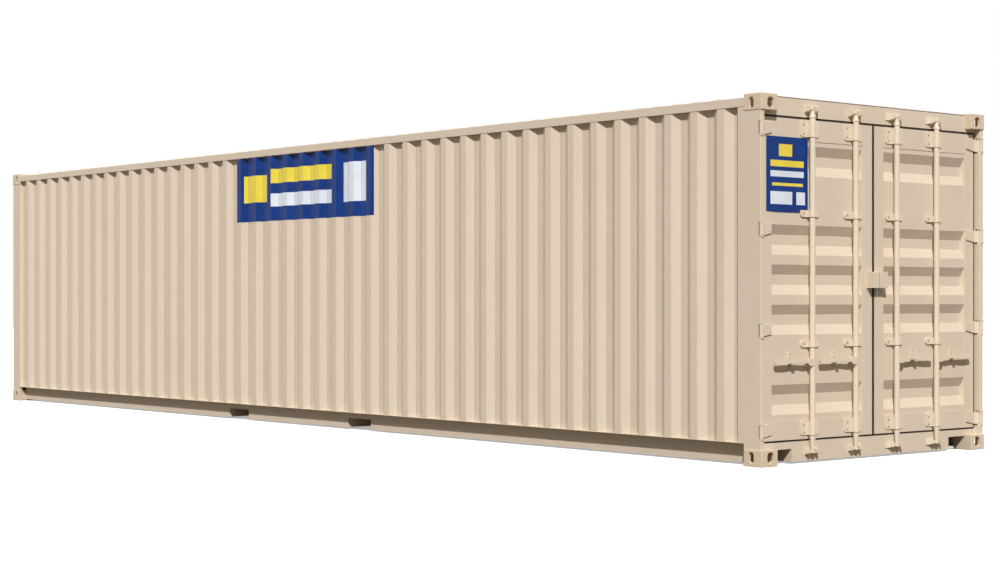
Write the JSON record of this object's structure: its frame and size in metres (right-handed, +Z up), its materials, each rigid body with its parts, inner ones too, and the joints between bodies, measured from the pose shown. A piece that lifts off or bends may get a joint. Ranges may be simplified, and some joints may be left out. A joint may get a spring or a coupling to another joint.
{
  "type": "shipping container",
  "caption": "Steel dry-freight shipping container with corrugated walls, castings at the corners and hinged double doors closed by turning lock rods",
  "frame": {"origin": "centre of the bounding box on the ground, under the four bottom castings", "axes": "X runs along the length and points out of the door end, Y across the width with the left door leaf on -Y, Z up"},
  "size_m": [12.192, 2.438, 2.591],
  "materials": {
    "corner_castings": "semi-gloss paint",
    "rear_posts": "semi-gloss paint",
    "front_posts": "semi-gloss paint",
    "hinge_lugs": "semi-gloss paint",
    "top_side_rails": "semi-gloss paint",
    "bottom_side_rails": "semi-gloss paint",
    "left_wall": "semi-gloss paint",
    "right_wall": "semi-gloss paint",
    "front_wall": "semi-gloss paint",
    "front_header": "semi-gloss paint",
    "front_sill": "semi-gloss paint",
    "door_header": "semi-gloss paint",
    "door_sill": "semi-gloss paint",
    "rear_cross_members": "semi-gloss paint",
    "middle_cross_members": "semi-gloss paint",
    "front_cross_members": "semi-gloss paint",
    "fork_pockets": "semi-gloss paint",
    "gooseneck_tunnel": "semi-gloss paint",
    "floor": "varnished plywood",
    "roof_panel": "semi-gloss paint",
    "roof_end_plates": "semi-gloss paint",
    "top_keepers": "semi-gloss paint",
    "bottom_keepers": "semi-gloss paint",
    "left_door_frame": "semi-gloss paint",
    "left_door_panel": "semi-gloss paint",
    "left_door_gasket": "matt black",
    "left_hinges": "semi-gloss paint",
    "left_bar_brackets": "semi-gloss paint",
    "left_handle_retainers": "semi-gloss paint",
    "left_lock_box": "semi-gloss paint",
    "right_door_frame": "semi-gloss paint",
    "right_door_panel": "semi-gloss paint",
    "right_door_gasket": "matt black",
    "right_hinges": "semi-gloss paint",
    "right_bar_brackets": "semi-gloss paint",
    "right_handle_retainers": "semi-gloss paint",
    "right_lock_box": "semi-gloss paint",
    "bar_1": "semi-gloss paint",
    "bar_2": "semi-gloss paint",
    "bar_3": "semi-gloss paint",
    "bar_4": "semi-gloss paint",
    "handle_1": "semi-gloss paint",
    "handle_2": "semi-gloss paint",
    "handle_3": "semi-gloss paint",
    "handle_4": "semi-gloss paint"
  },
  "bodies": {
    "frame": {"corner_castings": "corner_castings", "rear_posts": "rear_posts", "front_posts": "front_posts", "hinge_lugs": "hinge_lugs", "top_side_rails": "top_side_rails", "bottom_side_rails": "bottom_side_rails", "left_wall": "left_wall", "right_wall": "right_wall", "front_wall": "front_wall", "front_header": "front_header", "front_sill": "front_sill", "door_header": "door_header", "door_sill": "door_sill", "rear_cross_members": "rear_cross_members", "middle_cross_members": "middle_cross_members", "front_cross_members": "front_cross_members", "fork_pockets": "fork_pockets", "gooseneck_tunnel": "gooseneck_tunnel", "floor": "floor", "roof_panel": "roof_panel", "roof_end_plates": "roof_end_plates", "top_keepers": "top_keepers", "bottom_keepers": "bottom_keepers"},
    "left_door": {"left_door_frame": "left_door_frame", "left_door_panel": "left_door_panel", "left_door_gasket": "left_door_gasket", "left_hinges": "left_hinges", "left_bar_brackets": "left_bar_brackets", "left_handle_retainers": "left_handle_retainers", "left_lock_box": "left_lock_box"},
    "right_door": {"right_door_frame": "right_door_frame", "right_door_panel": "right_door_panel", "right_door_gasket": "right_door_gasket", "right_hinges": "right_hinges", "right_bar_brackets": "right_bar_brackets", "right_handle_retainers": "right_handle_retainers", "right_lock_box": "right_lock_box"},
    "bar_1": {"bar_1": "bar_1"},
    "bar_2": {"bar_2": "bar_2"},
    "bar_3": {"bar_3": "bar_3"},
    "bar_4": {"bar_4": "bar_4"},
    "handle_1": {"handle_1": "handle_1"},
    "handle_2": {"handle_2": "handle_2"},
    "handle_3": {"handle_3": "handle_3"},
    "handle_4": {"handle_4": "handle_4"}
  },
  "joints": [
    {"name": "left_door_swing", "type": "hinge", "parent": "frame", "child": "left_door", "pos_m": [6.079, -1.202, 1.3], "axis": [0, 0, -1], "range_deg": [0, 259]},
    {"name": "right_door_swing", "type": "hinge", "parent": "frame", "child": "right_door", "pos_m": [6.079, 1.202, 1.3], "axis": [0, 0, 1], "range_deg": [0, 259]},
    {"name": "bar_1_turn", "type": "hinge", "parent": "left_door", "child": "bar_1", "pos_m": [6.0685, -0.68, 1.3], "axis": [0, 0, -1], "range_deg": [-90, 0]},
    {"name": "handle_1_lift", "type": "hinge", "parent": "bar_1", "child": "handle_1", "pos_m": [6.078, -0.728, 0.727], "axis": [-1, 0, 0], "range_deg": [0, 12]},
    {"name": "bar_2_turn", "type": "hinge", "parent": "left_door", "child": "bar_2", "pos_m": [6.0685, -0.225, 1.3], "axis": [0, 0, -1], "range_deg": [-90, 0]},
    {"name": "handle_2_lift", "type": "hinge", "parent": "bar_2", "child": "handle_2", "pos_m": [6.078, -0.273, 0.727], "axis": [-1, 0, 0], "range_deg": [0, 12]},
    {"name": "bar_3_turn", "type": "hinge", "parent": "right_door", "child": "bar_3", "pos_m": [6.0685, 0.225, 1.3], "axis": [0, 0, 1], "range_deg": [-90, 0]},
    {"name": "handle_3_lift", "type": "hinge", "parent": "bar_3", "child": "handle_3", "pos_m": [6.078, 0.273, 0.727], "axis": [1, 0, 0], "range_deg": [0, 12]},
    {"name": "bar_4_turn", "type": "hinge", "parent": "right_door", "child": "bar_4", "pos_m": [6.0685, 0.68, 1.3], "axis": [0, 0, 1], "range_deg": [-90, 0]},
    {"name": "handle_4_lift", "type": "hinge", "parent": "bar_4", "child": "handle_4", "pos_m": [6.078, 0.728, 0.727], "axis": [1, 0, 0], "range_deg": [0, 12]}
  ]
}
